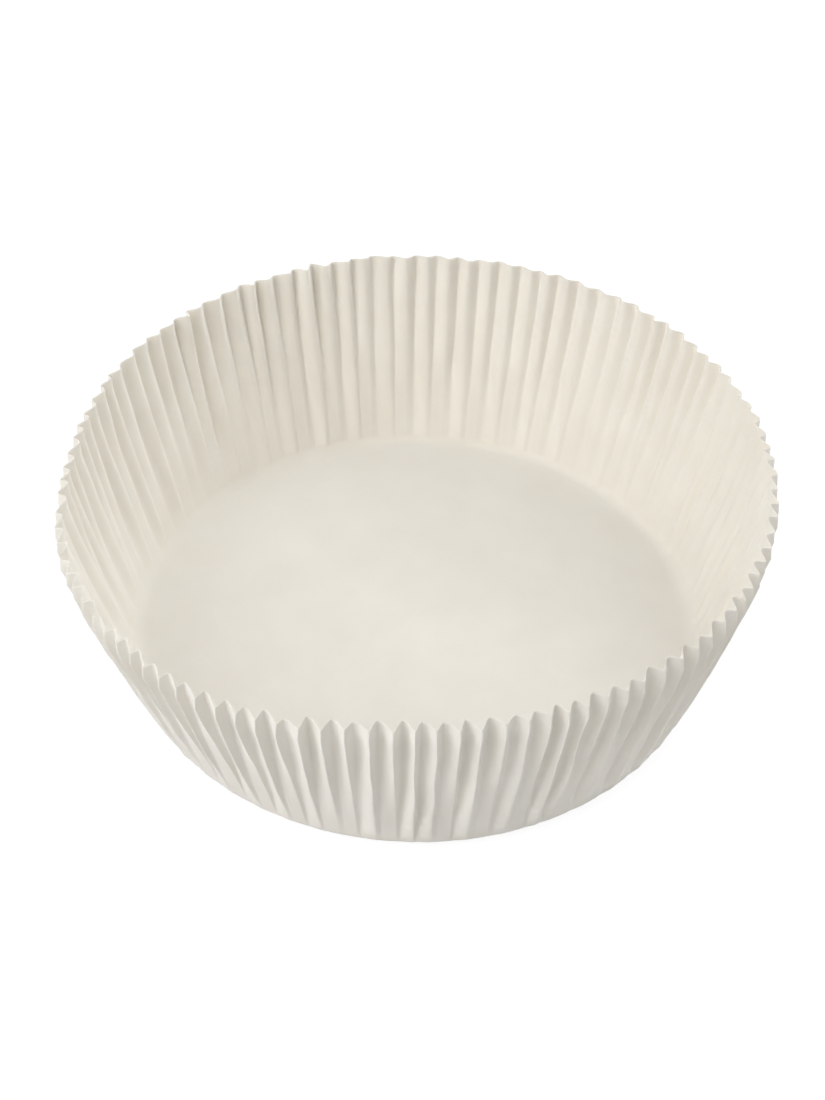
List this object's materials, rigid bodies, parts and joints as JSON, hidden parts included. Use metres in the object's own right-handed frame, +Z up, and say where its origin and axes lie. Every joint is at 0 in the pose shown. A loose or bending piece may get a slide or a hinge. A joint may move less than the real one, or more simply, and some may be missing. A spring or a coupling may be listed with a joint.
{
  "type": "cake tin liner",
  "caption": "Round pleated paper cup with a flat floor and a flared, fluted wall: it lines a cake tin so that a cake lifts out clean.",
  "frame": {"origin": "centre of the floor, on the surface that the liner stands on", "axes": "+Z up out of the open mouth; +X and +Y lie in the floor's plane"},
  "size_m": [0.2, 0.2, 0.064],
  "materials": {
    "paper": "matte off-white greaseproof paper"
  },
  "bodies": {
    "root": {"cake_tin_liner": "paper"}
  },
  "joints": []
}
